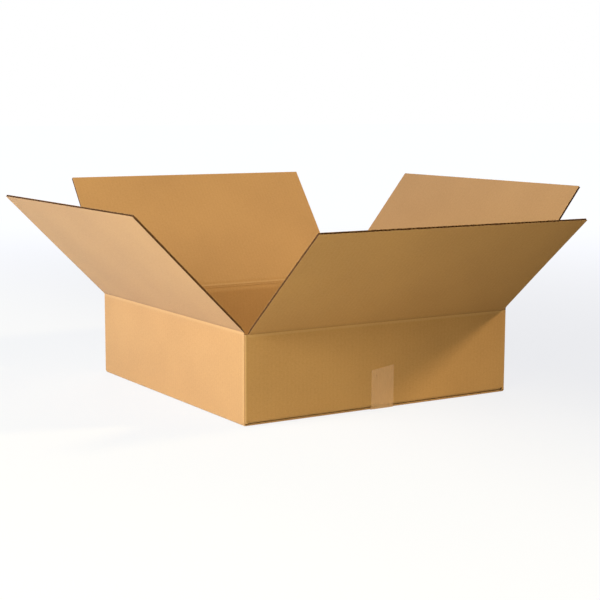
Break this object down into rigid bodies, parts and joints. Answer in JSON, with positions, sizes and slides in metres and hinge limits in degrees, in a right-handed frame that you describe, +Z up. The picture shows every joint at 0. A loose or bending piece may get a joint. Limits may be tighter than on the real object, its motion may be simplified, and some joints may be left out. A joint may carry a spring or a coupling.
{
  "type": "open corrugated shipping carton",
  "caption": "Low square corrugated carton, set up and taped underneath, with its top flaps standing open on scored hinges.",
  "frame": {"origin": "centre of the base, on the floor that the carton stands on", "axes": "+Z up; -Y is the front wall, which the tape runs up; -X is the left wall; +X the right wall, +Y the back wall"},
  "size_m": [0.9448, 0.9541, 0.3837],
  "materials": {
    "kraft_board": "matt brown kraft liner on corrugated board",
    "packing_tape": "tan film tape, satin"
  },
  "bodies": {
    "carton": {"carton_body": "kraft_board", "bottom_tape": "packing_tape"},
    "left_flap": {"left_flap": "kraft_board"},
    "right_flap": {"right_flap": "kraft_board"},
    "front_flap": {"front_flap": "kraft_board"},
    "back_flap": {"back_flap": "kraft_board"}
  },
  "joints": [
    {"name": "left_fold", "type": "hinge", "parent": "carton", "child": "left_flap", "pos_m": [-0.2834, 0, 0.1611], "axis": [0, -1, 0], "range_deg": [-135, 75]},
    {"name": "right_fold", "type": "hinge", "parent": "carton", "child": "right_flap", "pos_m": [0.2834, 0, 0.1611], "axis": [0, 1, 0], "range_deg": [-129, 81]},
    {"name": "front_fold", "type": "hinge", "parent": "carton", "child": "front_flap", "pos_m": [0, -0.2834, 0.1568], "axis": [1, 0, 0], "range_deg": [-139.5, 70.5]},
    {"name": "back_fold", "type": "hinge", "parent": "carton", "child": "back_flap", "pos_m": [0, 0.2834, 0.1568], "axis": [-1, 0, 0], "range_deg": [-127.5, 82.5]}
  ]
}
